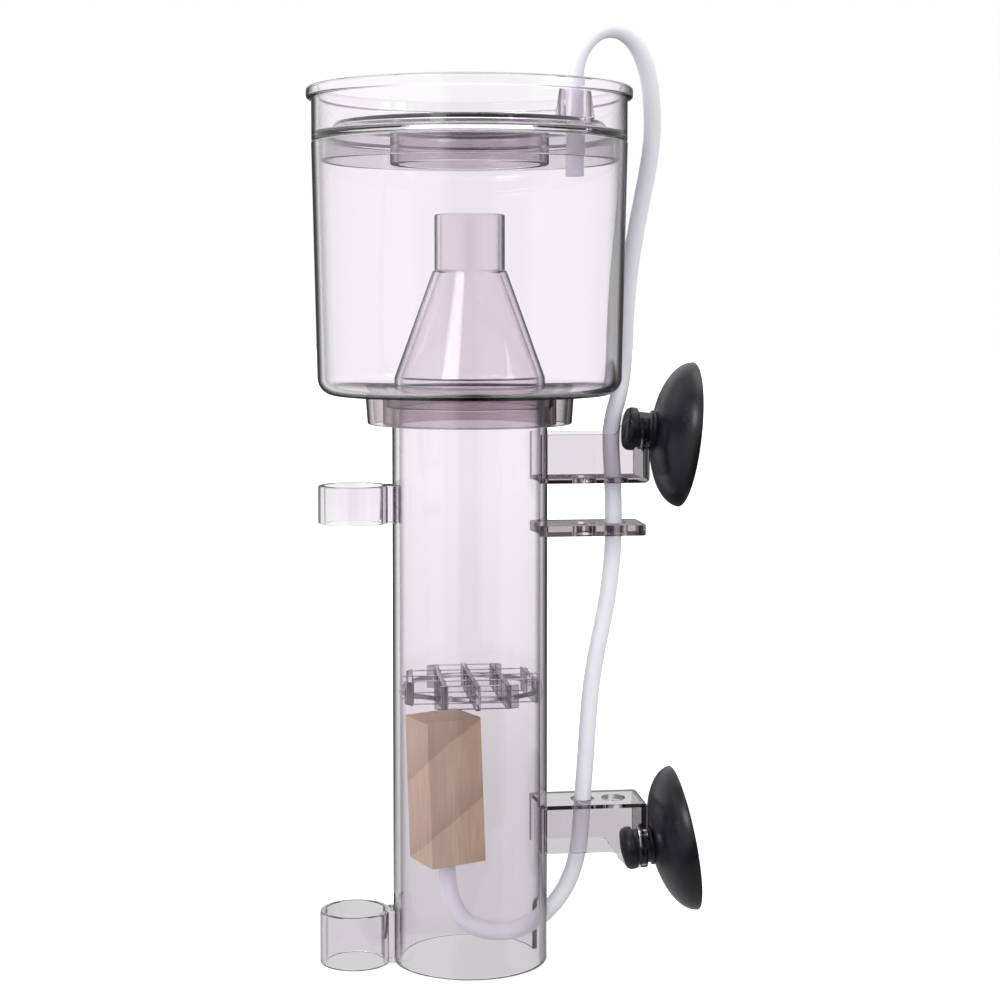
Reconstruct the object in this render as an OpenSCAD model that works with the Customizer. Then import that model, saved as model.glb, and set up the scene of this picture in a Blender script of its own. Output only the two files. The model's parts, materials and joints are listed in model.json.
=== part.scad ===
// Air-driven protein skimmer for a small marine tank, in millimetres.
// The contact column stands on z = 0 with its axis on the Z axis.
// +X points to the suction-cup arms, -X to the pipe rings, +Z up.

/* [Column] */
// Outside diameter of the contact column
column_d = 54; // [53.6:0.1:54.4]
// Wall thickness of the column and its rings
column_wall = 2.4; // [2:0.1:2.6]
// Height of the column
column_h = 194.6; // [190:0.1:196]
// Width of the arched slot that lets the airline in
slot_w = 12; // [9:0.5:14]
// Height of the arched slot
slot_h = 20.5; // [18:0.5:24]
// Diameter of the small port above the lower pipe ring
port_d = 7.2; // [5:0.1:8]

/* [Pipe rings] */
// Bore of the two rings that clip a 20 mm pipe
pipe_bore_d = 20.4; // [20.2:0.1:21]
// Outside diameter of the rings
ring_d = 24.5; // [24:0.1:25.5]
// Height of the upper ring
upper_ring_h = 13.2; // [10:0.1:16]
// Height of the lower ring
lower_ring_h = 18.4; // [12:0.1:19]

/* [Arms] */
// Width of the arms
arm_w = 21.7; // [21.2:0.1:22.5]
// Thickness of the channel's floor and sides
arm_plate = 1.6; // [1.2:0.1:2]
// Distance from the column's axis to the tip of an arm
arm_reach = 61.8; // [61.4:0.1:62.4]
// Height of the channel's sides
channel_h = 16.9; // [15:0.1:17.5]
// Height of the ears beside the suction cup
ear_h = 22.6; // [21.5:0.1:24]
// Diameter of the holes that hold the airline
hose_hole_d = 8.4; // [7.6:0.1:9]

/* [Suction cups] */
// Radius of the cup's rim
sucker_r = 25.6; // [22:0.1:27]
// Depth of the cup's dome
sucker_depth = 12; // [10:0.1:12.4]
// Downward lean of the upper cup, in degrees
upper_sucker_lean = 6.5; // [3:0.5:9]
// Upward lean of the lower cup, in degrees
lower_sucker_lean = 9.3; // [3:0.1:9.5]

/* [Collection cup] */
// Outside diameter at the cup's top
cup_top_d = 109; // [108:0.1:110]
// Outside diameter just above the bottom corner
cup_base_d = 105.2; // [104:0.1:106]
// Wall thickness of the collection cup
cup_wall = 2.2; // [1.8:0.1:2.4]
// Height of the collection cup
cup_h = 87.2; // [84:0.1:88]
// Height of the foam cone above the cup's floor
cone_h = 40.8; // [36:0.1:46]
// Outside diameter of the foam neck
neck_d = 24.3; // [22:0.1:24.6]
// Height of the foam neck
neck_h = 19.3; // [14:0.1:22]

/* [Lid] */
// Outside diameter of the lid's flange
lid_flange_d = 112.4; // [111:0.1:113]
// Height of the lid above the cup's rim
lid_h = 18.3; // [16:0.1:20]
// Depth of the skirt that plugs into the cup
lid_plug_h = 7.1; // [5:0.1:7.3]

/* [Airline and diffuser] */
// Outside diameter of the airline
hose_d = 6; // [5:0.1:6.2]
// Side of the square wooden diffuser
block_side = 20; // [16:0.5:20]
// Height of the wooden diffuser
block_h = 50.6; // [40:0.1:52]

/* [Hidden] */

smoke = [0.80, 0.76, 0.80, 0.45];
black_rubber = [0.12, 0.12, 0.13];
hose_white = [0.90, 0.89, 0.94, 0.85];
pale_wood = [0.78, 0.66, 0.55];

$fn = 96;
eps = 0.01;

column_r = column_d / 2;
column_bore_r = column_r - column_wall;
port_z = 22;

ring_x = -40.5;
ring_web_w = 9;
upper_ring_z = 154.2;

upper_arm_z = 168;
middle_arm_z = 149.6;
middle_arm_t = 3.7;
middle_arm_reach = 60.7;
lower_arm_z = 55.4;
hose_hole_x = [39.8, 51];
end_plate_t = 2.4;
ear_x = 51;
ear_fillet = 2.4;

// The suction cup's own Z axis runs from its knob to its rim, with 0 in the middle of the arm's end plate
sucker_x = arm_reach - end_plate_t / 2;
sucker_up = 17.8;
sucker_neck_r = 6.3;
sucker_rim_z = 16.15;
knob_r = 7.6;
knob_front_z = -2.2;
knob_back_z = -6.7;
collar_r = 7.3;
end_slot_r = 6.8;

// Bottom of the sleeve, underside of the cup's floor, and the rims above them
socket_z = 188.5;
cup_z = 198.5;
cup_floor_t = 2.2;
cup_corner_r = 6;
foam_bore_r = 24.1;
cone_base_r = 26.1;
cone_top_r = 12.7;
cone_foot_h = 3.8;
shell_wall = 2;
cone_z = cup_z + cup_floor_t;
neck_z = cone_z + cone_h;
cup_rim_z = cup_z + cup_h;
sleeve_clearance = 0.25;

lid_wall = 2.2;
lid_floor_t = 2;
plug_r = cup_top_d / 2 - cup_wall - 0.5;
plateau_r = 46;
plateau_z = cup_rim_z + 6.3;
flange_t = 3.8;
splash_collar_r = 27.4;
splash_collar_h = 12.3;
vent_at = [33, -21.6];
vent_bore_r = 3.8;
vent_h = 10.6;

diffuser_at = [-8.2, -1, 35.7];
diffuser_turn = 20.5;
diffuser_lean = -2;
nipple_collar_h = 1.2;
nipple_r = 2;

// The airline's route, from the diffuser's nipple out of the slot, up through the arms and into the lid's vent
hose_route = [
    [-8.2, -1, 34.5], [-8, -1, 27], [-6, -1, 19], [-1.2, -1, 12.7], [6, -1, 9.4], [14.6, -0.7, 9],
    [22.4, -0.4, 11.8], [28.5, -0.4, 16.6], [33.6, -0.5, 23.4], [37, -0.6, 31.5], [38.8, -0.6, 41],
    [39.8, -0.6, 55], [41.2, -0.7, 74], [42.3, -0.7, 91], [44.6, -0.6, 107], [48.2, -0.4, 124],
    [50.5, -0.1, 142], [50.8, 0.2, 158], [50.5, 0.8, 169], [50.3, 2.6, 177], [50.5, 4.6, 184],
    [51.6, 5.9, 190.5], [53.4, 8, 195.5], [55.4, 11, 202], [56.7, 13, 211], [57.3, 13.4, 226],
    [58.6, 11.8, 243], [60.9, 9, 260], [63.2, 6.2, 274], [64.4, 2.7, 286], [63.8, -1.1, 297], [62, -5, 307],
    [58.5, -8.8, 315.6], [53.7, -12, 321.3], [47.2, -15.5, 323.4], [40.7, -18.7, 321.4],
    [35.6, -20.9, 315.6], [33, -21.6, 307], [33, -21.6, 290], [33, -21.6, 273],
];
// The point of the route where the hose passes from the column to the cup that lifts
hose_parting = 22;
hose_sides = 10;

// Points of an arc about c, in the plane of a profile
function arc(c, r, from, to, n = 5) =
    [for (i = [0:n]) let (a = from + (to - from) * i / n) c + r * [cos(a), sin(a)]];

// Points of a dome's profile, half an ellipse that opens at c, between two distances from its axis
function dome_curve(c, r, depth, from_r, to_r, n = 12) = [
    for (i = [0:n]) let (a = acos(from_r / r) + (acos(to_r / r) - acos(from_r / r)) * i / n)
        c + [r * cos(a), -depth * sin(a)]
];

function unit(v) = v / norm(v);

// A Catmull-Rom curve through the points, with one extra point in the middle of each stretch
function smooth_route(p) = let (last = len(p) - 1) [
    for (i = [0:last]) each i == last ? [p[i]] : [
        p[i],
        (9 * (p[i] + p[i + 1]) - p[max(i - 1, 0)] - p[min(i + 2, last)]) / 16,
    ]
];

// The corners of the tube's cross-section at point i of a route
function hose_ring(p, i) =
    let (
        along = unit(p[min(i + 1, len(p) - 1)] - p[max(i - 1, 0)]),
        across = unit(cross(along, [0, 1, 0])),
        up = cross(across, along)
    )
    [for (k = [0:hose_sides - 1]) let (a = 360 * k / hose_sides)
        p[i] + hose_d / 2 * (cos(a) * across + sin(a) * up)];

// The tube between two points of the route
module hose(first, last) {
    p = smooth_route(hose_route);
    rings = 2 * (last - first);
    n = hose_sides;
    color(hose_white)
        polyhedron(
            points = [for (i = [0:rings]) each hose_ring(p, 2 * first + i)],
            faces = [
                [for (k = [0:n - 1]) k],
                for (i = [0:rings - 1]) for (k = [0:n - 1])
                    [i * n + k, (i + 1) * n + k, (i + 1) * n + (k + 1) % n, i * n + (k + 1) % n],
                [for (k = [n - 1:-1:0]) rings * n + k],
            ]
        );
}

// Everything inside the column's outer surface, for cutting what is bonded to it
module column_space() {
    cylinder(h = 2 * column_h, r = column_r, center = true);
}

module column_tube() {
    color(smoke)
        difference() {
            cylinder(h = column_h, r = column_r);
            translate([0, 0, -eps])
                cylinder(h = column_h + 2 * eps, r = column_bore_r);
            airline_slot();
            translate([0, 0, port_z])
                rotate([0, -90, 0])
                    cylinder(h = column_d, d = port_d);
        }
}

module airline_slot() {
    arch_z = slot_h - slot_w / 2;
    translate([0, -slot_w / 2, -eps])
        cube([column_d, slot_w, arch_z + eps]);
    translate([0, 0, arch_z])
        rotate([0, 90, 0])
            cylinder(h = column_d, d = slot_w);
}

// A ring with a short web that joins it to the column
module pipe_ring(h) {
    color(smoke)
        difference() {
            union() {
                translate([ring_x, 0, 0])
                    cylinder(h = h, d = ring_d);
                translate([ring_x, -ring_web_w / 2, 0])
                    cube([-ring_x, ring_web_w, h]);
            }
            translate([ring_x, 0, -eps])
                cylinder(h = h + 2 * eps, d = pipe_bore_d);
            column_space();
        }
}

module upper_pipe_ring() {
    translate([0, 0, upper_ring_z])
        pipe_ring(upper_ring_h);
}

module lower_pipe_ring() {
    pipe_ring(lower_ring_h);
}

// Outline of an arm from above, with its two tip corners rounded
module arm_plan(reach, corner) {
    side = arm_w / 2;
    polygon(concat(
        [[0, -side]],
        arc([reach - corner, -side + corner], corner, -90, 0),
        arc([reach - corner, side - corner], corner, 0, 90),
        [[0, side]]
    ));
}

// Outline of the channel's side: a low wall that rises in a curve to the ear at the tip
module channel_side() {
    toe = 2;
    ear_corner = 1.5;
    polygon(concat(
        [[0, 0]],
        arc([arm_reach - toe, toe], toe, -90, 0),
        arc([arm_reach - 1, ear_h - 1], 1, 0, 90, 3),
        arc([ear_x + 4, ear_h - ear_corner], ear_corner, 90, 150, 3),
        arc([ear_x - ear_fillet, channel_h + ear_fillet], ear_fillet, 0, -90),
        [[0, channel_h]]
    ));
}

module hose_holes() {
    for (x = hose_hole_x)
        translate([x, 0, -1])
            cylinder(h = middle_arm_t + 2, d = hose_hole_d);
}

// A U-shaped channel with an open-topped slot in its end plate for a suction cup's neck
module bracket() {
    inside_w = arm_w - 2 * arm_plate;
    color(smoke)
        difference() {
            intersection() {
                translate([0, arm_w / 2, 0])
                    rotate([90, 0, 0])
                        linear_extrude(arm_w)
                            channel_side();
                linear_extrude(ear_h)
                    arm_plan(arm_reach, 1.2);
            }
            translate([-1, -inside_w / 2, arm_plate])
                cube([arm_reach - end_plate_t + 1, inside_w, ear_h]);
            translate([sucker_x, 0, sucker_up]) {
                rotate([0, 90, 0])
                    cylinder(h = 4 * end_plate_t, r = end_slot_r, center = true);
                translate([-2 * end_plate_t, -end_slot_r, 0])
                    cube([4 * end_plate_t, 2 * end_slot_r, ear_h]);
            }
            hose_holes();
            column_space();
        }
}

module upper_bracket() {
    translate([0, 0, upper_arm_z])
        bracket();
}

module lower_bracket() {
    translate([0, 0, lower_arm_z])
        mirror([0, 0, 1])
            bracket();
}

module middle_arm() {
    color(smoke)
        translate([0, 0, middle_arm_z])
            difference() {
                linear_extrude(middle_arm_t)
                    arm_plan(middle_arm_reach, 2);
                hose_holes();
                column_space();
            }
}

// An egg-crate disc that breaks up the bubbles: crossed fins and a thin band on the column's wall
module bubble_grid() {
    grid_z = 92.4;
    grid_h = 8.1;
    fin_t = 1.7;
    fin_pitch = 10.5;
    band_h = 1.6;
    color(smoke)
        intersection() {
            translate([0, 0, grid_z])
                cylinder(h = grid_h, r = column_bore_r);
            union() {
                for (at = [-2:2], turn = [0, 90])
                    rotate(turn)
                        translate([at * fin_pitch - fin_t / 2, -column_r, grid_z])
                            cube([fin_t, column_d, grid_h]);
                translate([0, 0, grid_z + 3])
                    difference() {
                        cylinder(h = band_h, r = column_r);
                        translate([0, 0, -eps])
                            cylinder(h = band_h + 2 * eps, r = column_bore_r - 1.2);
                    }
            }
        }
}

// Places its children on the middle of the diffuser's underside
module on_diffuser() {
    translate(diffuser_at)
        rotate([0, diffuser_lean, 0])
            rotate(diffuser_turn)
                children();
}

module wooden_diffuser() {
    color(pale_wood)
        on_diffuser()
            difference() {
                translate([-block_side / 2, -block_side / 2, 0])
                    cube([block_side, block_side, block_h]);
                translate([0, 0, -1])
                    cylinder(h = 7, r = nipple_r, $fn = 32);
            }
}

// A short stem in the wood, a collar, and a barb inside the airline
module diffuser_nipple() {
    barb_h = 7;
    color(smoke)
        on_diffuser()
            rotate_extrude($fn = 32)
                polygon([
                    [0, 6], [nipple_r, 6], [nipple_r, 0], [hose_d / 2, 0], [hose_d / 2, -nipple_collar_h],
                    [nipple_r, -nipple_collar_h], [nipple_r, 1 - barb_h], [1.4, -barb_h], [0, -barb_h],
                ]);
}

module airline_hose_lower() {
    hose(0, hose_parting);
}

module airline_hose_upper() {
    hose(hose_parting, len(hose_route) - 1);
}

module cup_shell() {
    top_r = cup_top_d / 2;
    base_r = cup_base_d / 2;
    inner_corner_r = cup_corner_r - cup_wall;
    color(smoke)
        translate([0, 0, cup_z])
            rotate_extrude()
                polygon(concat(
                    [[foam_bore_r, 0]],
                    arc([base_r - cup_corner_r, cup_corner_r], cup_corner_r, -90, 0, 8),
                    [[top_r, cup_h], [top_r - cup_wall, cup_h]],
                    arc([base_r - cup_corner_r, cup_corner_r], inner_corner_r, 0, -90, 8),
                    [[foam_bore_r, cup_floor_t]]
                ));
}

// The skirt's outside tapers a little towards its open lower edge
module socket_skirt() {
    skirt_wall = 2.3;
    color(smoke)
        translate([0, 0, socket_z])
            rotate_extrude()
                polygon([
                    [35.5 - skirt_wall, 0], [35.5, 0],
                    [36.2, cup_z - socket_z], [36.2 - skirt_wall, cup_z - socket_z],
                ]);
}

// Slips over the column and rests on its top edge by an inner ledge
module socket_sleeve() {
    sleeve_r = column_r + sleeve_clearance;
    color(smoke)
        rotate_extrude()
            polygon([
                [sleeve_r, socket_z], [30.1, socket_z], [30.1, cup_z], [foam_bore_r, cup_z],
                [foam_bore_r, column_h], [sleeve_r, column_h],
            ]);
}

module foam_cone() {
    color(smoke)
        translate([0, 0, cone_z])
            rotate_extrude()
                polygon([
                    [foam_bore_r, 0], [cone_base_r, 0], [cone_base_r, cone_foot_h], [cone_top_r, cone_h],
                    [cone_top_r - 2.5, cone_h], [foam_bore_r, cone_foot_h],
                ]);
}

module foam_neck() {
    color(smoke)
        translate([0, 0, neck_z])
            difference() {
                cylinder(h = neck_h, d = neck_d);
                translate([0, 0, -eps])
                    cylinder(h = neck_h + 2 * eps, d = neck_d - 2 * shell_wall);
            }
}

// A dish with a raised floor, a flange round its top and a skirt that plugs into the cup
module lid_shell() {
    wall_r = cup_top_d / 2 - 0.1;
    flange_r = lid_flange_d / 2;
    top_z = cup_rim_z + lid_h;
    bore_r = wall_r - lid_wall;
    floor_z = cup_rim_z + lid_floor_t;
    color(smoke)
        difference() {
            rotate_extrude()
                polygon([
                    [plug_r - 2, cup_rim_z - lid_plug_h], [plug_r, cup_rim_z - lid_plug_h],
                    [plug_r, cup_rim_z], [wall_r, cup_rim_z],
                    [wall_r, top_z - flange_t], [flange_r, top_z - flange_t],
                    [flange_r, top_z], [bore_r, top_z],
                    [bore_r, floor_z], [plateau_r + 3, floor_z],
                    [plateau_r, plateau_z], [0, plateau_z],
                    [0, plateau_z - lid_floor_t], [plateau_r - 1, plateau_z - lid_floor_t],
                    [plateau_r + 2, cup_rim_z], [plug_r - 2, cup_rim_z],
                ]);
            translate([vent_at.x, vent_at.y, plateau_z - 2 * lid_floor_t])
                cylinder(h = 4 * lid_floor_t, r = vent_bore_r, $fn = 48);
        }
}

// A short tube under the lid that catches the splash above the foam neck
module splash_collar() {
    top_z = plateau_z - lid_floor_t;
    color(smoke)
        translate([0, 0, top_z - splash_collar_h])
            difference() {
                cylinder(h = splash_collar_h, r = splash_collar_r);
                translate([0, 0, -eps])
                    cylinder(h = splash_collar_h + 2 * eps, r = splash_collar_r - 2.3);
            }
}

module vent_cone() {
    color(smoke)
        translate([vent_at.x, vent_at.y, plateau_z])
            rotate_extrude($fn = 48)
                polygon([[vent_bore_r, 0], [6.6, 0], [5.1, vent_h], [vent_bore_r, vent_h]]);
}

// One rubber moulding: a domed knob, a neck, a collar and the thin-edged hollow dome
module suction_cup() {
    rim_w = 1.2;
    knob_corner_r = 2.2;
    collar_z = 2.9;
    centre = [0, sucker_rim_z];
    color(black_rubber)
        rotate_extrude()
            polygon(concat(
                [[0, knob_back_z]],
                arc([knob_r - knob_corner_r, knob_back_z + 2.7], knob_corner_r, -80, 0),
                [[knob_r, knob_front_z], [sucker_neck_r, knob_front_z]],
                [[sucker_neck_r, collar_z], [collar_r, collar_z]],
                dome_curve(centre, sucker_r, sucker_depth, collar_r, sucker_r),
                dome_curve(centre, sucker_r - rim_w, sucker_depth - 2.4, sucker_r - rim_w, 0)
            ));
}

module upper_suction_cup() {
    translate([sucker_x, 0, upper_arm_z + sucker_up])
        rotate([0, 90 + upper_sucker_lean, 0])
            suction_cup();
}

module lower_suction_cup() {
    translate([sucker_x, 0, lower_arm_z - sucker_up])
        rotate([0, 90 - lower_sucker_lean, 0])
            suction_cup();
}

column_tube();
upper_pipe_ring();
lower_pipe_ring();
upper_bracket();
middle_arm();
lower_bracket();
bubble_grid();
wooden_diffuser();
diffuser_nipple();
airline_hose_lower();
cup_shell();
foam_cone();
foam_neck();
socket_sleeve();
socket_skirt();
airline_hose_upper();
lid_shell();
splash_collar();
vent_cone();
upper_suction_cup();
lower_suction_cup();
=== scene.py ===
"""The looks of an air-driven protein skimmer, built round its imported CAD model.

Lengths are in metres, apart from the corners of outlines and the hose's route, which are in millimetres."""
import json
import math

import bmesh
import bpy
from mathutils import Matrix, Vector


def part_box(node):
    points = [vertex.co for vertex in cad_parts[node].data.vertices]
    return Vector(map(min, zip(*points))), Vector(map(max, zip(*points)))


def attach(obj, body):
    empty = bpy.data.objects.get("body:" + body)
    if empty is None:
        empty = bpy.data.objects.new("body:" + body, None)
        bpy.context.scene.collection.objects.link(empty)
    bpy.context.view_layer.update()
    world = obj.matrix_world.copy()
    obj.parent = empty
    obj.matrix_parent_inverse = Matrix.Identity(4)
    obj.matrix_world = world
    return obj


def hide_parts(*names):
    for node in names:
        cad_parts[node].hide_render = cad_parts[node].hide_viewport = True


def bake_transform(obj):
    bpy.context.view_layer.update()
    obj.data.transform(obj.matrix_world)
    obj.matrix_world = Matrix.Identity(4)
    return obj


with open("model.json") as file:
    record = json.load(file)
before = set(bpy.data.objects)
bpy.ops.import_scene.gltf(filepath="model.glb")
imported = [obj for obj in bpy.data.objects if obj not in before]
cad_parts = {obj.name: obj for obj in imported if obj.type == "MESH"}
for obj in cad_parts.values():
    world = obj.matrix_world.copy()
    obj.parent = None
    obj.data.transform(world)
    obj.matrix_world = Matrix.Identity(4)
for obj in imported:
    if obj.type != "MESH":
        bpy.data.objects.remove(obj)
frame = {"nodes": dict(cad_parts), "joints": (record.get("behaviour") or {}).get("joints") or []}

MM = 0.001
X = Vector((1, 0, 0))
Z = Vector((0, 0, 1))
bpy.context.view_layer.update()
scene = bpy.context.scene

# ---------------------------------------------------------------- camera
CAMERA_AZIMUTH = math.radians(-7.02)
CAMERA_DISTANCE = 0.728
CAMERA_HEIGHT = 0.2335
CAMERA_PITCH = math.radians(3.4)
# How far the camera stands to the right of the line through the column's axis
CAMERA_ASIDE = 0.0105
SENSOR_WIDTH = 36
LENS = 75.5
VIEW_SHIFT_Y = -0.0817


def make_camera():
    """The camera stands in front, a little to the left and level with the cup, and looks slightly down."""
    data = bpy.data.cameras.new("camera")
    data.sensor_width = SENSOR_WIDTH
    data.lens = LENS
    data.shift_y = VIEW_SHIFT_Y
    camera = bpy.data.objects.new("camera", data)
    scene.collection.objects.link(camera)
    ahead = Vector((-math.sin(CAMERA_AZIMUTH), math.cos(CAMERA_AZIMUTH), 0))
    right = ahead.cross(Z)
    camera.location = right * CAMERA_ASIDE - ahead * CAMERA_DISTANCE + Z * CAMERA_HEIGHT
    look = ahead * math.cos(CAMERA_PITCH) - Z * math.sin(CAMERA_PITCH)
    camera.rotation_euler = look.to_track_quat("-Z", "Y").to_euler()
    scene.camera = camera


# ---------------------------------------------------------------- mesh helpers
# What is left between two bonded pieces of clear acrylic, in millimetres, so that their faces don't coincide
GAP = 0.03


def turns(count):
    """The angles that divide a full turn evenly."""
    return [2 * math.pi * k / count for k in range(count)]


def new_object(name, bm, smooth_angle=38):
    """A bmesh as an object with its faces turned outwards, smooth but for edges sharper than the angle."""
    bmesh.ops.recalc_face_normals(bm, faces=bm.faces)
    mesh = bpy.data.meshes.new(name)
    bm.to_mesh(mesh)
    bm.free()
    mesh.polygons.foreach_set("use_smooth", [True] * len(mesh.polygons))
    mesh.set_sharp_from_angle(angle=math.radians(smooth_angle))
    obj = bpy.data.objects.new(name, mesh)
    scene.collection.objects.link(obj)
    return obj


def rounded(corners, steps=4):
    """A closed outline, as points in metres, through corners of (across, up, radius) in millimetres.

    Each corner is rounded by its radius, as far as its sides have room for."""
    points = []
    for i, (x, y, radius) in enumerate(corners):
        here = Vector((x, y)) * MM
        if not radius:
            points.append(here)
            continue
        to_last = Vector(corners[i - 1][:2]) * MM - here
        to_next = Vector(corners[(i + 1) % len(corners)][:2]) * MM - here
        limit = 0.49 * min(to_last.length, to_next.length)
        to_last.normalize()
        to_next.normalize()
        half = to_last.angle(to_next) / 2
        back = min(radius * MM / math.tan(half), limit)
        centre = here + (to_last + to_next).normalized() * back / math.cos(half)
        first = here + to_last * back - centre
        last = here + to_next * back - centre
        turn = first.angle_signed(last)
        for k in range(steps + 1):
            spun = first.copy()
            spun.rotate(Matrix.Rotation(-turn * k / steps, 2))
            points.append(centre + spun)
    return points


def lathe(name, outline, segments=144, place=Matrix()):
    """A closed outline of (radius, height) points turned about Z. Points on the axis become poles."""
    bm = bmesh.new()
    rings = []
    for radius, height in outline:
        if radius < 1e-7:
            rings.append([bm.verts.new((0, 0, height))])
            continue
        rings.append([bm.verts.new((radius * math.cos(a), radius * math.sin(a), height))
                      for a in turns(segments)])
    for i, ring in enumerate(rings):
        after = rings[(i + 1) % len(rings)]
        if len(ring) == len(after) == 1:
            continue
        for k in range(segments):
            corners = [ring[k % len(ring)], ring[(k + 1) % len(ring)],
                       after[(k + 1) % len(after)], after[k % len(after)]]
            unique = list(dict.fromkeys(corners))
            if len(unique) > 2:
                bm.faces.new(unique)
    bmesh.ops.transform(bm, matrix=place, verts=bm.verts)
    return new_object(name, bm)


def cutter(bm_maker):
    """A scratch object for a boolean cut, whose mesh bm_maker makes."""
    bm = bmesh.new()
    bm_maker(bm)
    return new_object("cutter", bm)


def cylinder_cutter(radius, length, place):
    """A scratch cylinder centred on the origin of its place."""
    return cutter(lambda bm: bmesh.ops.create_cone(
        bm, cap_ends=True, segments=64, radius1=radius, radius2=radius, depth=length, matrix=place))


def cut(obj, *tools):
    """Takes the tools' shapes out of obj's mesh and deletes the tools."""
    for tool in tools:
        m = obj.modifiers.new("cut", "BOOLEAN")
        m.object = tool
        m.operation = "DIFFERENCE"
        m.solver = "EXACT"
    bpy.context.view_layer.update()
    shape = bpy.data.meshes.new_from_object(obj.evaluated_get(bpy.context.evaluated_depsgraph_get()))
    obj.modifiers.clear()
    obj.data = shape
    for tool in tools:
        bpy.data.objects.remove(tool)


def soften(obj, width, segments=2, angle=35):
    """Rounds a CAD mesh's sharp edges by a width in millimetres, and keeps its flats flat."""
    weld = obj.modifiers.new("weld", "WELD")
    weld.merge_threshold = 1e-6
    bevel = obj.modifiers.new("bevel", "BEVEL")
    bevel.width = width * MM
    bevel.segments = segments
    bevel.limit_method = "ANGLE"
    bevel.angle_limit = math.radians(angle)
    bevel.use_clamp_overlap = True
    level(obj)


def level(obj):
    """Keeps the normals of large faces true beside small rounded edges."""
    m = obj.modifiers.new("normals", "WEIGHTED_NORMAL")
    m.mode = "FACE_AREA"
    m.keep_sharp = True


def heights(node):
    """A CAD node's lowest and highest point in millimetres."""
    low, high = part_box(node)
    return low.z / MM, high.z / MM


def finish_piece(obj, body, material, node):
    """Sets a piece's material and slot, puts it on a body and lets it stand for a CAD node."""
    obj.data.materials.clear()
    obj.data.materials.append(material)
    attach(obj, body)
    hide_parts(node)


# ---------------------------------------------------------------- node helpers
def new_material(name):
    """A node material, its nodes, its links and its Principled shader."""
    material = bpy.data.materials.new(name)
    material.use_nodes = True
    nodes, links = material.node_tree.nodes, material.node_tree.links
    return material, nodes, links, nodes["Principled BSDF"]


def feed(links, socket, value):
    """Links an output to a socket, or sets the socket where the value is a number or a colour."""
    if isinstance(value, bpy.types.NodeSocket):
        links.new(value, socket)
    else:
        socket.default_value = value


def set_inputs(node, **inputs):
    """Sets a node's inputs by name, with _ for each space in a name."""
    for key, value in inputs.items():
        node.inputs[key.replace("_", " ")].default_value = value
    return node


def ramp(nodes, links, factor, stops):
    """A colour ramp fed by factor, with (position, grey or colour) stops."""
    node = nodes.new("ShaderNodeValToRGB")
    elements = node.color_ramp.elements
    while len(elements) < len(stops):
        elements.new(0.5)
    for element, (position, colour) in zip(elements, stops):
        element.position = position
        element.color = (*colour, 1) if isinstance(colour, tuple) else (colour, colour, colour, 1)
    links.new(factor, node.inputs[0])
    return node.outputs[0]


def math_node(nodes, links, operation, *values):
    """A Math node fed with outputs or numbers."""
    node = nodes.new("ShaderNodeMath")
    node.operation = operation
    for socket, value in zip(node.inputs, values):
        feed(links, socket, value)
    return node.outputs[0]


def map_range(nodes, links, value, source, target=(0, 1)):
    """A value mapped from the source range to the target range and kept inside it."""
    node = set_inputs(nodes.new("ShaderNodeMapRange"),
                      From_Min=source[0], From_Max=source[1], To_Min=target[0], To_Max=target[1])
    links.new(value, node.inputs["Value"])
    return node.outputs["Result"]


def mix(nodes, links, data_type, blend_type, factor, a, b):
    """A Mix node between a and b, which are outputs, numbers or colours."""
    node = nodes.new("ShaderNodeMix")
    node.data_type = data_type
    node.blend_type = blend_type
    for name, value in {"Factor": factor, "A": a, "B": b}.items():
        feed(links, node.inputs[name], value)
    return node.outputs["Result"]


def axes_of(nodes, links, vector):
    """A vector's X, Y and Z outputs."""
    node = nodes.new("ShaderNodeSeparateXYZ")
    links.new(vector, node.inputs[0])
    return node.outputs


def coordinates(nodes, kind):
    """One of the Texture Coordinate node's outputs."""
    return nodes.new("ShaderNodeTexCoord").outputs[kind]


def object_noise(nodes, links, scale, detail=3, stretch=(1, 1, 1)):
    """Noise in object space, optionally stretched."""
    mapping = set_inputs(nodes.new("ShaderNodeMapping"), Scale=stretch)
    links.new(coordinates(nodes, "Object"), mapping.inputs["Vector"])
    noise = set_inputs(nodes.new("ShaderNodeTexNoise"), Scale=scale, Detail=detail)
    links.new(mapping.outputs[0], noise.inputs["Vector"])
    return noise.outputs[0]


def bump(nodes, links, shader, height, strength, distance):
    """Feeds a bump of that depth in metres to the shader's normal."""
    node = set_inputs(nodes.new("ShaderNodeBump"), Strength=strength, Distance=distance)
    links.new(height, node.inputs["Height"])
    links.new(node.outputs[0], shader.inputs["Normal"])


# ---------------------------------------------------------------- materials
# The acrylic's own pale tint, and the mid and dark greys of its painted outlines
PALE, MID, DARK = (0.992, 0.968, 0.996), (0.25, 0.22, 0.25), (0.02, 0.015, 0.02)
LILAC_TINT = (0.61, 0.5, 0.62)
BROWN_TINT = (0.62, 0.55, 0.565)
# The painted shade that draws dark outlines on a curved wall, the column's wall, a flat plate, the lid and
# the grid as they turn edge on
WALL_PAINTED_OUTLINES = [(0, PALE), (0.7, PALE), (0.82, MID), (0.9, DARK)]
COLUMN_PAINTED_OUTLINES = [(0, PALE), (0.62, PALE), (0.76, MID), (0.88, DARK)]
PLATE_PAINTED_OUTLINES = [(0, PALE), (0.9, PALE), (1, MID)]
LID_PAINTED_OUTLINES = [(0, PALE), (0.72, PALE), (0.9, MID)]
NO_PAINTED_OUTLINES = [(0, PALE), (1, PALE)]
ACRYLIC_IOR = 1.49
SILICONE_IOR = 1.41


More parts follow.
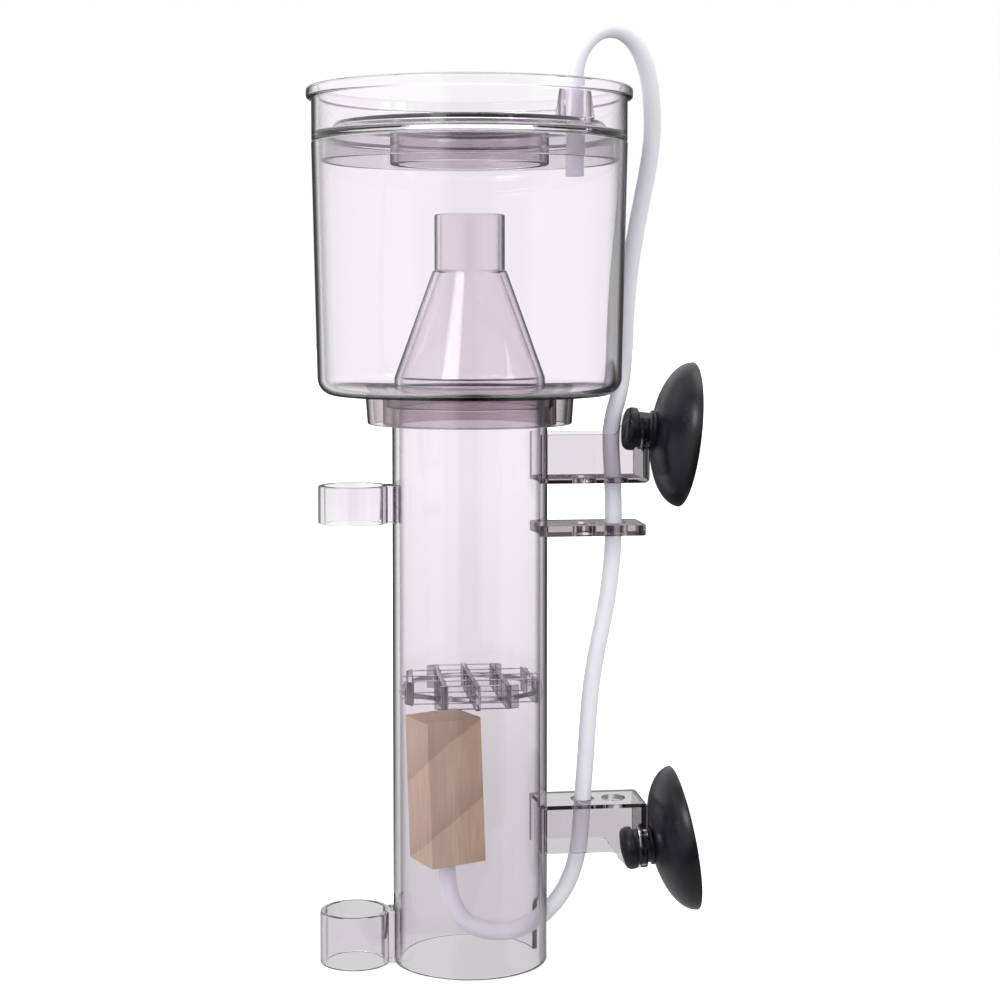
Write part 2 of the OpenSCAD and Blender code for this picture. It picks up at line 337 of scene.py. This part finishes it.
def acrylic(name, smoke, painted_outline_stops, tint=LILAC_TINT, ior=ACRYLIC_IOR, bevel_painted_shade=1.0, painted_shade_below=None):
    """Polished smoked acrylic, which absorbs more the longer the way through it, and has dark outlines
    painted into its colour where it turns edge on.

    Faces that don't face along an axis, such as a plate's rounded edges, are darkened by a painted shade down
    to the share given for them.
    What is below the given height, in metres, is darkened by a painted shade."""
    material, nodes, links, shader = new_material(name)
    set_inputs(shader, Transmission_Weight=1, IOR=ior)
    absolute = nodes.new("ShaderNodeVectorMath")
    absolute.operation = "ABSOLUTE"
    links.new(nodes.new("ShaderNodeNewGeometry").outputs["True Normal"], absolute.inputs[0])
    normal = axes_of(nodes, links, absolute.outputs[0])
    facing = set_inputs(nodes.new("ShaderNodeLayerWeight"), Blend=0.5).outputs["Facing"]
    # Level faces get less of the painted outline shade than upright ones
    upright = map_range(nodes, links, normal["Z"], (0.6, 0.9), (1, 0.6))
    colour = ramp(nodes, links, math_node(nodes, links, "MULTIPLY", facing, upright), painted_outline_stops)
    shades = []
    # Painted shade that darkens rounded edges and other slanted faces, drawing their dark lines
    if bevel_painted_shade < 1:
        widest = math_node(nodes, links, "MAXIMUM", normal["X"], normal["Y"])
        widest = math_node(nodes, links, "MAXIMUM", widest, normal["Z"])
        shades.append(map_range(nodes, links, widest, (0.96, 0.99), (bevel_painted_shade, 1)))
    if painted_shade_below is not None:
        # Painted shade on the lid's part inside the cup, where it overlaps the cup's rim
        height = axes_of(nodes, links, coordinates(nodes, "Object"))["Z"]
        shades.append(map_range(nodes, links, height, (painted_shade_below - 1 * MM, painted_shade_below), (0.76, 1)))
    for shade in shades:
        colour = mix(nodes, links, "RGBA", "MULTIPLY", 1, colour, shade)
    links.new(colour, shader.inputs["Base Color"])
    wear = object_noise(nodes, links, 90)
    links.new(ramp(nodes, links, wear, [(0.35, 0.002), (0.75, 0.012)]), shader.inputs["Roughness"])
    bump(nodes, links, shader, object_noise(nodes, links, 30, 1), 0.03, 0.3 * MM)
    absorption = set_inputs(nodes.new("ShaderNodeVolumeAbsorption"), Density=smoke, Color=(*tint, 1))
    links.new(absorption.outputs[0], nodes["Material Output"].inputs["Volume"])
    return material


def black_rubber():
    """Satin black rubber with a fine moulded grain and slightly dusty patches."""
    material, nodes, links, shader = new_material("black_rubber")
    dust = object_noise(nodes, links, 60, 4)
    links.new(ramp(nodes, links, dust, [(0.35, (0.004, 0.0043, 0.0085)), (0.8, (0.007, 0.0075, 0.0135))]),
              shader.inputs["Base Color"])
    links.new(ramp(nodes, links, dust, [(0.3, 0.26), (0.8, 0.38)]), shader.inputs["Roughness"])
    set_inputs(shader, Specular_IOR_Level=0.4, Sheen_Weight=0.1, Sheen_Roughness=0.35,
               Sheen_Tint=(0.85, 0.87, 1, 1))
    bump(nodes, links, shader, object_noise(nodes, links, 2500, 2), 0.12, 0.1 * MM)
    return material


def silicone():
    """Milky silicone that lets some light through."""
    material, nodes, links, shader = new_material("airline_silicone")
    cloud = object_noise(nodes, links, 45, 2)
    links.new(ramp(nodes, links, cloud, [(0.3, (0.74, 0.735, 0.81)), (0.7, (0.77, 0.765, 0.84))]),
              shader.inputs["Base Color"])
    links.new(ramp(nodes, links, cloud, [(0.3, 0.32), (0.7, 0.42)]), shader.inputs["Roughness"])
    set_inputs(shader, IOR=SILICONE_IOR, Transmission_Weight=0.05, Subsurface_Weight=0.5,
               Subsurface_Radius=(1, 0.95, 1), Subsurface_Scale=2 * MM)
    bump(nodes, links, shader, object_noise(nodes, links, 400, 2), 0.08, 0.1 * MM)
    return material


def limewood():
    """Pale planed wood: fine upright grain crossed by broad darker growth bands that run aslant."""
    material, nodes, links, shader = new_material("diffuser_wood")
    aslant = set_inputs(nodes.new("ShaderNodeMapping"), Rotation=(math.radians(15), math.radians(-52), 0))
    links.new(coordinates(nodes, "Object"), aslant.inputs["Vector"])
    bands = set_inputs(nodes.new("ShaderNodeTexWave"), Scale=15, Distortion=1.4, Detail=3, Detail_Scale=1.2)
    bands.wave_profile = "SAW"
    links.new(aslant.outputs[0], bands.inputs["Vector"])
    band_colour = ramp(nodes, links, bands.outputs["Fac"],
                       [(0, (0.585, 0.41, 0.295)), (0.6, (0.55, 0.385, 0.28)), (0.95, (0.45, 0.315, 0.235))])
    fibres = object_noise(nodes, links, 900, 4, (1, 1, 0.08))
    fibre_colour = ramp(nodes, links, fibres, [(0.35, 0.8), (0.7, 1.0)])
    colour = mix(nodes, links, "RGBA", "MULTIPLY", 0.8, band_colour, fibre_colour)
    links.new(colour, shader.inputs["Base Color"])
    links.new(ramp(nodes, links, fibres, [(0.3, 0.7), (0.7, 0.58)]), shader.inputs["Roughness"])
    bump(nodes, links, shader, fibres, 0.35, 0.2 * MM)
    return material


def nipple_plastic():
    """Satin translucent white plastic."""
    material, nodes, links, shader = new_material("nipple_plastic")
    grain = object_noise(nodes, links, 500, 2)
    links.new(ramp(nodes, links, grain, [(0.3, 0.72), (0.7, 0.8)]), shader.inputs["Base Color"])
    set_inputs(shader, Roughness=0.4, Transmission_Weight=0.3)
    return material


# ---------------------------------------------------------------- the airline
HOSE_R = 0.003
HOSE_BORE_R = 0.002
HOSE_ROUTE = [
    (-8.2, -1, 34.5), (-8, -1, 27), (-6, -1, 19), (-1.2, -1, 12.7), (6, -1, 9.4), (14.6, -0.7, 9),
    (22.4, -0.4, 11.8), (28.5, -0.4, 16.6), (33.6, -0.5, 23.4), (37, -0.6, 31.5), (38.8, -0.6, 41),
    (39.8, -0.6, 55), (41.2, -0.7, 74), (42.3, -0.7, 91), (44.6, -0.6, 107), (48.2, -0.4, 124),
    (50.5, -0.1, 142), (50.8, 0.2, 158), (50.5, 0.8, 169), (50.3, 2.6, 177), (50.5, 4.6, 184),
    (51.6, 5.9, 190.5), (53.4, 8, 195.5), (55.4, 11, 202), (56.7, 13, 211), (57.3, 13.4, 226),
    (58.6, 11.8, 243), (60.9, 9, 260), (63.2, 6.2, 274), (64.4, 2.7, 286), (63.8, -1.1, 297), (62, -5, 307),
    (58.5, -8.8, 315.6), (53.7, -12, 321.3), (47.2, -15.5, 323.4), (40.7, -18.7, 321.4),
    (35.6, -20.9, 315.6), (33, -21.6, 307), (33, -21.6, 290), (33, -21.6, 273),
]


def smooth_path(points, per_stretch=8, passes=12):
    """A Catmull-Rom curve through the points, evened out a little so that its bends have no kinks."""
    ends = [points[0] * 2 - points[1], *points, points[-1] * 2 - points[-2]]
    path = []
    for a, b, c, d in zip(ends, ends[1:], ends[2:], ends[3:]):
        for k in range(per_stretch):
            t = k / per_stretch
            path.append((b * 2 + (c - a) * t + (a * 2 - b * 5 + c * 4 - d) * t ** 2
                         + (b * 3 - a - c * 3 + d) * t ** 3) / 2)
    path.append(points[-1])
    for _ in range(passes):
        path = [path[0], *((a + b * 2 + c) / 4 for a, b, c in zip(path, path[1:], path[2:])), path[-1]]
    return path


def tube(name, path, outer, inner, sides=24):
    """A hollow tube along a path, with its wall shown at both ends."""
    bm = bmesh.new()
    along = [(path[min(i + 1, len(path) - 1)] - path[max(i - 1, 0)]).normalized() for i in range(len(path))]
    side = along[0].orthogonal().normalized()
    skins = {outer: [], inner: []}
    for point, ahead in zip(path, along):
        side = (side - ahead * side.dot(ahead)).normalized()
        other = ahead.cross(side)
        for radius, rings in skins.items():
            rings.append([bm.verts.new(point + side * radius * math.cos(a) + other * radius * math.sin(a))
                          for a in turns(sides)])
    loop = [*skins[outer], *reversed(skins[inner])]
    for ring, after in zip(loop, [*loop[1:], loop[0]]):
        for k in range(sides):
            bm.faces.new([ring[k], ring[(k + 1) % sides], after[(k + 1) % sides], after[k]])
    return new_object(name, bm, 50)


def make_airline(material):
    """The one hose, from the diffuser's nipple out of the slot, through the arms and down the lid's vent."""
    path = smooth_path([Vector(p) * MM for p in HOSE_ROUTE])
    hose = tube("airline_hose", path, HOSE_R, HOSE_BORE_R)
    hose.data.materials.append(material)
    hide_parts("airline_hose_lower", "airline_hose_upper")
    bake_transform(hose)


# ---------------------------------------------------------------- the column
COLUMN_WALL = 2.4
SLOT_R = 0.006
SLOT_TOP = 0.0205
PORT_R = 0.0036
PORT_Z = 0.022
# Where the slot's cutter starts beside the axis, how far it runs, and how far it reaches below the foot
SLOT_CUT_START = 0.015
SLOT_CUT_LENGTH = 0.03
SLOT_CUT_BELOW = 0.01


def slot_shape(bm):
    """The arched slot's cutter, which runs out through the wall on the right."""
    arch_steps = 24
    arch_z = SLOT_TOP - SLOT_R
    arch = [math.pi * k / arch_steps for k in range(arch_steps + 1)]
    outline = [(SLOT_R * math.cos(a), arch_z + SLOT_R * math.sin(a)) for a in arch]
    outline += [(-SLOT_R, -SLOT_CUT_BELOW), (SLOT_R, -SLOT_CUT_BELOW)]
    face = bm.faces.new([bm.verts.new((SLOT_CUT_START, y, z)) for y, z in outline])
    moved = bmesh.ops.extrude_face_region(bm, geom=[face])["geom"]
    moved = [v for v in moved if isinstance(v, bmesh.types.BMVert)]
    bmesh.ops.translate(bm, vec=X * SLOT_CUT_LENGTH, verts=moved)


def make_column(clear):
    """The contact column with its rims rounded, its arched slot and its port."""
    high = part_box("column_tube")[1]
    radius, height = high.x / MM, high.z / MM
    bore = radius - COLUMN_WALL
    edge = 0.5
    column = lathe("contact_column", rounded([
        (bore, 0, edge), (radius, 0, edge), (radius, height, edge), (bore, height, edge)]), 180)
    sideways = Matrix.Rotation(math.pi / 2, 4, "Y")
    port = cylinder_cutter(PORT_R, 0.02, Matrix.Translation((-radius * MM, 0, PORT_Z)) @ sideways)
    cut(column, cutter(slot_shape), port)
    level(column)
    finish_piece(column, "column", clear, "column_tube")


def make_cad_pieces(clear, plates, grid, wood):
    """The pieces whose CAD shape is right: their edges are rounded a little and they get their finish."""
    finishes = {
        "upper_pipe_ring": (0.5, 2, clear), "lower_pipe_ring": (0.5, 2, clear),
        "upper_bracket": (0.3, 2, plates), "middle_arm": (0.4, 2, plates), "lower_bracket": (0.3, 2, plates),
        "bubble_grid": (0.25, 2, grid), "wooden_diffuser": (0.6, 3, wood)}
    for node, (width, segments, material) in finishes.items():
        piece = frame["nodes"][node]
        soften(piece, width, segments)
        piece.material_slots[0].material = material


def make_nipple(plastic):
    """The barbed stem between the diffuser and the airline."""
    lean = Matrix.Rotation(math.radians(-2), 4, "Y")
    place = Matrix.Translation(Vector((-8.2, -1, 35.7)) * MM) @ lean
    stem_r, barb_r, flange_r, barb_h = 1.5, 1.95, 2.9, 0.3
    bottom, top, flange_low, flange_high = -7, 5.9, -1.2, -0.05
    barbs = [(0, bottom, 0), (stem_r, bottom, 0.2)]
    for height in (-5, -3.2):
        barbs += [(barb_r, height, 0.1), (stem_r, height + barb_h, 0.1)]
    stem = [(stem_r, flange_low, 0), (flange_r, flange_low, 0.3), (flange_r, flange_high, 0.3),
            (barb_r, flange_high, 0), (barb_r, top, 0.3), (0, top, 0)]
    nipple = lathe("diffuser_nipple_stem", rounded(barbs + stem), 48, place)
    level(nipple)
    finish_piece(nipple, "column", plastic, "diffuser_nipple")


# ---------------------------------------------------------------- the collection cup
CUP_WALL = 2.2
CUP_FOOT_R = 52.6
FOAM_R = 24.1


def make_cup(clear, foam_tube, socket):
    """The cup's shell, foam cone, foam neck, sleeve and skirt, with every rim rounded."""
    bottom, top = heights("cup_shell")
    rim_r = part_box("cup_shell")[1].x / MM
    inside_z = bottom + CUP_WALL
    shell = rounded([
        (FOAM_R, bottom, 0.3), (CUP_FOOT_R, bottom, 6), (rim_r, top, 0.7), (rim_r - CUP_WALL, top, 0.7),
        (CUP_FOOT_R - CUP_WALL - 0.1, inside_z, 3.8), (FOAM_R, inside_z, 0.3)], 8)

    base, cone_top = heights("foam_cone")
    cone_r, throat_outer_r, throat_r = 26.1, 12.7, 10.2
    shoulder = base + 3.8
    cone = rounded([
        (FOAM_R, base + GAP, 0), (cone_r, base + GAP, 0.4), (cone_r, shoulder, 1.5),
        (throat_outer_r, cone_top, 0.5), (throat_r, cone_top, 0.4), (FOAM_R, shoulder, 1.5)])

    neck_bottom, neck_top = heights("foam_neck")
    neck_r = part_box("foam_neck")[1].x / MM
    neck_bore = neck_r - 2
    neck = rounded([
        (neck_bore, neck_bottom + GAP, 0.3), (neck_r, neck_bottom + GAP, 0.3),
        (neck_r, neck_top, 0.6), (neck_bore, neck_top, 0.6)])

    sleeve_low, sleeve_high = heights("socket_sleeve")
    sleeve_high -= GAP
    ledge = heights("column_tube")[1]
    sleeve_bore, sleeve_r = 27.25, 30.1
    sleeve = rounded([
        (sleeve_bore, sleeve_low, 0.4), (sleeve_r, sleeve_low, 0.4), (sleeve_r, sleeve_high, 0.3),
        (FOAM_R, sleeve_high, 0.2), (FOAM_R, ledge, 0.2), (sleeve_bore, ledge, 0)])
    skirt = rounded([
        (33.2, sleeve_low, 0.5), (35.5, sleeve_low, 0.5), (36.2, sleeve_high, 0.3), (33.9, sleeve_high, 0.3)])

    pieces = {"cup_shell": (shell, clear), "foam_cone": (cone, foam_tube), "foam_neck": (neck, foam_tube),
              "socket_sleeve": (sleeve, socket), "socket_skirt": (skirt, socket)}
    for node, (outline, material) in pieces.items():
        piece = lathe(node + "_clear", outline, 180)
        level(piece)
        finish_piece(piece, "cup", material, node)


# ---------------------------------------------------------------- the lid
LID_WALL = 2
LID_FLANGE_H = 3.8


def make_lid(clear, dish_acrylic, socket):
    """The lid's dish, its splash collar and the cone that the airline passes through."""
    skirt, top = heights("lid_shell")
    flange_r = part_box("lid_shell")[1].x / MM
    rim = heights("cup_shell")[1] + GAP
    plateau = heights("vent_cone")[0]
    plug_r, wall_r, bore_r, plateau_r = 51.8, 54.4, 52.2, 46
    flange_z = top - LID_FLANGE_H
    floor_z = rim + LID_WALL
    under = plateau - LID_WALL
    dish = lathe("lid_dish", rounded([
        (plug_r - LID_WALL, skirt, 0.5), (plug_r, skirt, 0.5), (plug_r, rim, 0.15), (wall_r, rim, 0.5),
        (wall_r, flange_z, 0.5), (flange_r, flange_z, 1.0), (flange_r, top, 1.0), (bore_r, top, 0.8),
        (bore_r, floor_z, 1.0), (plateau_r + 3, floor_z, 1.5), (plateau_r, plateau, 1.5), (0, plateau, 0),
        (0, under, 0), (plateau_r - 1, under, 1.2), (plateau_r + 2, rim, 0.8),
        (plug_r - LID_WALL, rim, 0.5)]), 180)
    vent_low, vent_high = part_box("vent_cone")
    vent = (vent_low + vent_high) / 2
    vent_foot = Matrix.Translation((vent.x, vent.y, plateau * MM))
    vent_r = 3.8
    cut(dish, cylinder_cutter(vent_r * MM, 0.02, vent_foot))
    level(dish)
    finish_piece(dish, "lid", dish_acrylic, "lid_shell")

    collar_low, collar_high = heights("splash_collar")
    collar_high -= GAP
    collar_bore, collar_r = 25.1, 27.4
    collar = lathe("splash_collar_clear", rounded([
        (collar_bore, collar_low, 0.7), (collar_r, collar_low, 0.7), (collar_r, collar_high, 0.2),
        (collar_bore, collar_high, 0.2)]), 144)
    level(collar)
    finish_piece(collar, "lid", socket, "splash_collar")

    # The bore flares from 6.5 mm up, so that the hose clears it while the lid is lifted
    cone_top = 10.6
    cone = lathe("vent_cone_clear", rounded([
        (vent_r, GAP, 0), (6.6, GAP, 0.5), (5.1, cone_top, 0.3), (4.4, cone_top, 0.3), (vent_r, 6.5, 2)]), 64,
        vent_foot)
    level(cone)
    finish_piece(cone, "lid", clear, "vent_cone")


# ---------------------------------------------------------------- the suction cups
# Heights are in millimetres along the suction cup's axis from its joint, and the mouth's rim is the highest
SUCKER_RIM = 16.15
SUCKER_BACK = [
    (0, -6.7, 0), (3, -6.62, 2), (6.9, -5.9, 1.6), (7.6, -4.4, 1.4), (7.55, -2.2, 0.5), (6.3, -2.2, 0.4),
    (6.3, 2.9, 0.5), (7.3, 2.9, 0.5), (7.4, 4.6, 1.0)]
SUCKER_OUTER_R = 25.6
SUCKER_INNER_R = 24.4


def dome(radius, depth, start, end, steps=18):
    """Points of a suction cup's elliptic profile between two distances from its axis, in millimetres."""
    a, b = math.acos(start / radius), math.acos(end / radius)
    swept = [a + (b - a) * k / steps for k in range(steps + 1)]
    return [(radius * math.cos(t), SUCKER_RIM - depth * math.sin(t)) for t in swept]


def make_suckers(rubber):
    """Each suction cup is one moulding: knob, neck, collar and a dome that thins to a lip."""
    back = [(x / MM, y / MM) for x, y in rounded(SUCKER_BACK)]
    outer = dome(SUCKER_OUTER_R, 12, 8.0, SUCKER_OUTER_R - 0.1)
    lip = [(SUCKER_OUTER_R, SUCKER_RIM - 0.7), (SUCKER_OUTER_R, SUCKER_RIM - 0.25),
           (SUCKER_OUTER_R - 0.25, SUCKER_RIM), (SUCKER_OUTER_R - 0.8, SUCKER_RIM)]
    inner = dome(SUCKER_INNER_R, 9.6, SUCKER_INNER_R - 0.01, 0)
    outline = [Vector(p) * MM for p in back + outer + lip + inner]
    for joint in frame["joints"]:
        if not joint["name"].endswith("sucker_spin"):
            continue
        body = joint["child"]
        node = body.replace("sucker", "suction_cup")
        turn = Z.rotation_difference(Vector(joint["axis"])).to_matrix().to_4x4()
        piece = lathe(node + "_rubber", outline, 120, Matrix.Translation(joint["pos_m"]) @ turn)
        level(piece)
        finish_piece(piece, body, rubber, node)


# ---------------------------------------------------------------- stage and light
FLOOR_RADIUS = 8
WHITE = (1, 1, 1, 1)


def light_path(nodes, name):
    """One of the Light Path node's outputs."""
    return nodes.new("ShaderNodeLightPath").outputs[name]


def after_bounce(nodes, links, depth):
    """1 once a ray has had a bounce of that kind, and 0 before."""
    return math_node(nodes, links, "MINIMUM", light_path(nodes, depth), 1)


def mirrored_tone(nodes, links, direction):
    """How bright gloss finds a direction near the horizon.

    It is a white studio, dimmer on the right, with dark flags in front and behind that draw glass's outlines.
    The ramp runs from 0 on the left over 0.5 in front or behind to 1 on the right."""
    axes = axes_of(nodes, links, direction)
    depth = math_node(nodes, links, "ABSOLUTE", axes["Y"])
    azimuth = math_node(nodes, links, "ARCTAN2", axes["X"], depth)
    across = map_range(nodes, links, azimuth, (-math.pi / 2, math.pi / 2))
    return ramp(nodes, links, across, [
        (0, 0.9), (0.35, 0.9), (0.395, 0.12), (0.547, 0.02), (0.69, 0.1), (0.73, 0.6), (1, 0.6)])


def make_stage():
    """A wide floor that the camera sees burnt out to white, with a trace of shadow, as in a catalogue.

    Seen through glass and in bounces it glows, greyer near the object by a painted shade, and in gloss it
    glows with the studio's flags painted on it."""
    bm = bmesh.new()
    bmesh.ops.create_circle(bm, cap_ends=True, segments=96, radius=FLOOR_RADIUS)
    floor = new_object("floor", bm)
    material, nodes, links, shader = new_material("floor")
    set_inputs(shader, Base_Color=WHITE, Roughness=1, Specular_IOR_Level=0)
    place = coordinates(nodes, "Object")
    distance = nodes.new("ShaderNodeVectorMath")
    distance.operation = "LENGTH"
    links.new(place, distance.inputs[0])
    away = map_range(nodes, links, distance.outputs["Value"], (0, 3))
    glow = nodes.new("ShaderNodeEmission")
    # Painted shade: the floor glows greyer near the object for rays that come through glass or bounce
    grey = ramp(nodes, links, away, [(0, 0.66), (0.1, 0.72), (0.22, 0.9), (0.6, 1.0)])
    links.new(grey, glow.inputs["Color"])
    # Painted reflection: in gloss the floor glows with the studio's flags
    mirrored = mix(nodes, links, "FLOAT", "MIX",
                   after_bounce(nodes, links, "Glossy Depth"), 1, mirrored_tone(nodes, links, place))
    links.new(mirrored, glow.inputs["Strength"])
    faint = nodes.new("ShaderNodeMixShader")
    faint.inputs["Fac"].default_value = 0.45
    links.new(nodes.new("ShaderNodeEmission").outputs[0], faint.inputs[1])
    links.new(shader.outputs[0], faint.inputs[2])
    seen = nodes.new("ShaderNodeMixShader")
    links.new(light_path(nodes, "Is Camera Ray"), seen.inputs["Fac"])
    links.new(glow.outputs[0], seen.inputs[1])
    links.new(faint.outputs[0], seen.inputs[2])
    links.new(seen.outputs[0], nodes["Material Output"].inputs["Surface"])
    floor.data.materials.append(material)


def area_light(name, location, size, power, target=(0, 0, 0.16)):
    """A square soft lamp that faces the object and shows only in its gloss. The surround lights the rest."""
    data = bpy.data.lights.new(name, "AREA")
    data.shape = "SQUARE"
    data.size = size
    data.energy = power
    light = bpy.data.objects.new(name, data)
    light.visible_diffuse = False
    light.location = location
    light.rotation_euler = (Vector(target) - Vector(location)).to_track_quat("-Z", "Y").to_euler()
    scene.collection.objects.link(light)


def make_light():
    """A surround that is white to the camera, lights mostly from the left and above, and has flags in gloss.

    Three soft lamps, to both sides and above, add highlights."""
    world = bpy.data.worlds.new("studio")
    world.use_nodes = True
    nodes, links = world.node_tree.nodes, world.node_tree.links
    direction = coordinates(nodes, "Generated")
    axes = axes_of(nodes, links, direction)
    across = map_range(nodes, links, axes["X"], (-1, 1))
    from_side = ramp(nodes, links, across, [(0, 2.35), (0.5, 1.36), (1, 0.65)])
    diffuse = math_node(nodes, links, "MULTIPLY", from_side,
                        map_range(nodes, links, axes["Z"], (0.2, 0.9), (1, 2.2)))
    # The flags reach a little above the horizon, and gloss finds an even tone over them
    gloss = mix(nodes, links, "FLOAT", "MIX", map_range(nodes, links, axes["Z"], (0.09, 0.18)),
                mirrored_tone(nodes, links, direction), 0.8)
    tone = WHITE
    for depth, found in {"Diffuse Depth": diffuse, "Glossy Depth": gloss}.items():
        tone = mix(nodes, links, "RGBA", "MIX", after_bounce(nodes, links, depth), tone, found)
    links.new(tone, nodes["Background"].inputs["Color"])
    scene.world = world
    area_light("key", (-1.1, -1.3, 1.3), 0.8, 12)
    area_light("fill", (1.4, -0.9, 0.8), 0.7, 5)
    area_light("top", (0, 0.3, 2.0), 1.4, 12)


def make_all():
    """Builds the whole scene, the camera and the cord first."""
    make_camera()
    clear = acrylic("clear_acrylic", 16, WALL_PAINTED_OUTLINES)
    pipe = acrylic("clear_acrylic_column", 16, COLUMN_PAINTED_OUTLINES)
    plates = acrylic("clear_acrylic_plates", 75, PLATE_PAINTED_OUTLINES, BROWN_TINT, bevel_painted_shade=0.15)
    grid = acrylic("clear_acrylic_grid", 15, NO_PAINTED_OUTLINES, ior=1.12, bevel_painted_shade=0.25)
    foam_tube = acrylic("clear_acrylic_foam_tube", 75, WALL_PAINTED_OUTLINES, BROWN_TINT)
    socket = acrylic("clear_acrylic_socket", 190, WALL_PAINTED_OUTLINES, BROWN_TINT)
    # The part of the lid that stands inside the cup, up to just over the cup's rim, is darkened by a painted
    # shade where it overlaps the cup
    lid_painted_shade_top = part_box("cup_shell")[1].z + 0.5 * MM
    dish = acrylic("clear_acrylic_lid", 8, LID_PAINTED_OUTLINES, painted_shade_below=lid_painted_shade_top)
    make_airline(silicone())
    make_column(pipe)
    make_cad_pieces(pipe, plates, grid, limewood())
    make_nipple(nipple_plastic())
    make_cup(clear, foam_tube, socket)
    make_lid(clear, dish, socket)
    make_suckers(black_rubber())
    make_stage()
    make_light()
    scene.view_settings.view_transform = "Standard"
    scene.cycles.max_bounces = 32
    scene.cycles.transmission_bounces = 32
    scene.cycles.transparent_max_bounces = 32
    scene.cycles.use_denoising = True


make_all()
